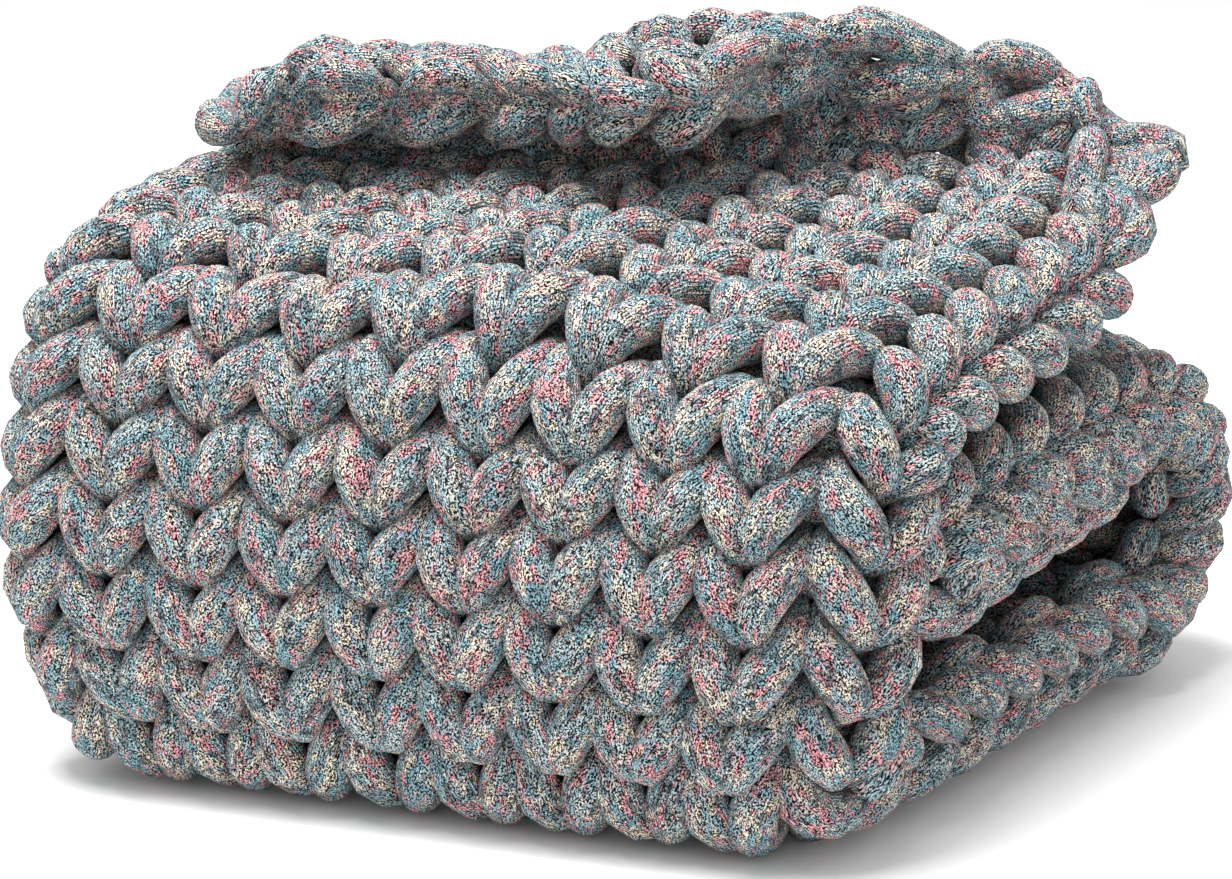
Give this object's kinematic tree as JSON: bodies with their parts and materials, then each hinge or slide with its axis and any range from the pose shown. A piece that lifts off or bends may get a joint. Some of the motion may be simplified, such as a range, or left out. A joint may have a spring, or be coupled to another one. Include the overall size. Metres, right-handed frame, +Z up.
{
  "type": "chunky knit blanket",
  "caption": "Rolled-up chunky stockinette blanket in thick mottled chenille yarn, its outer end turned back over the top.",
  "frame": {"origin": "middle of the underside of the rolled blanket's box, on the surface it lies on", "axes": "+X along the roll to its right end, +Y to the back, +Z up"},
  "size_m": [0.639, 0.4906, 0.4301],
  "materials": {
    "chenille_yarn": "matt short-pile chenille, mottled teal, grey, rose and cream"
  },
  "bodies": {
    "root": {"blanket": "chenille_yarn"}
  },
  "joints": []
}
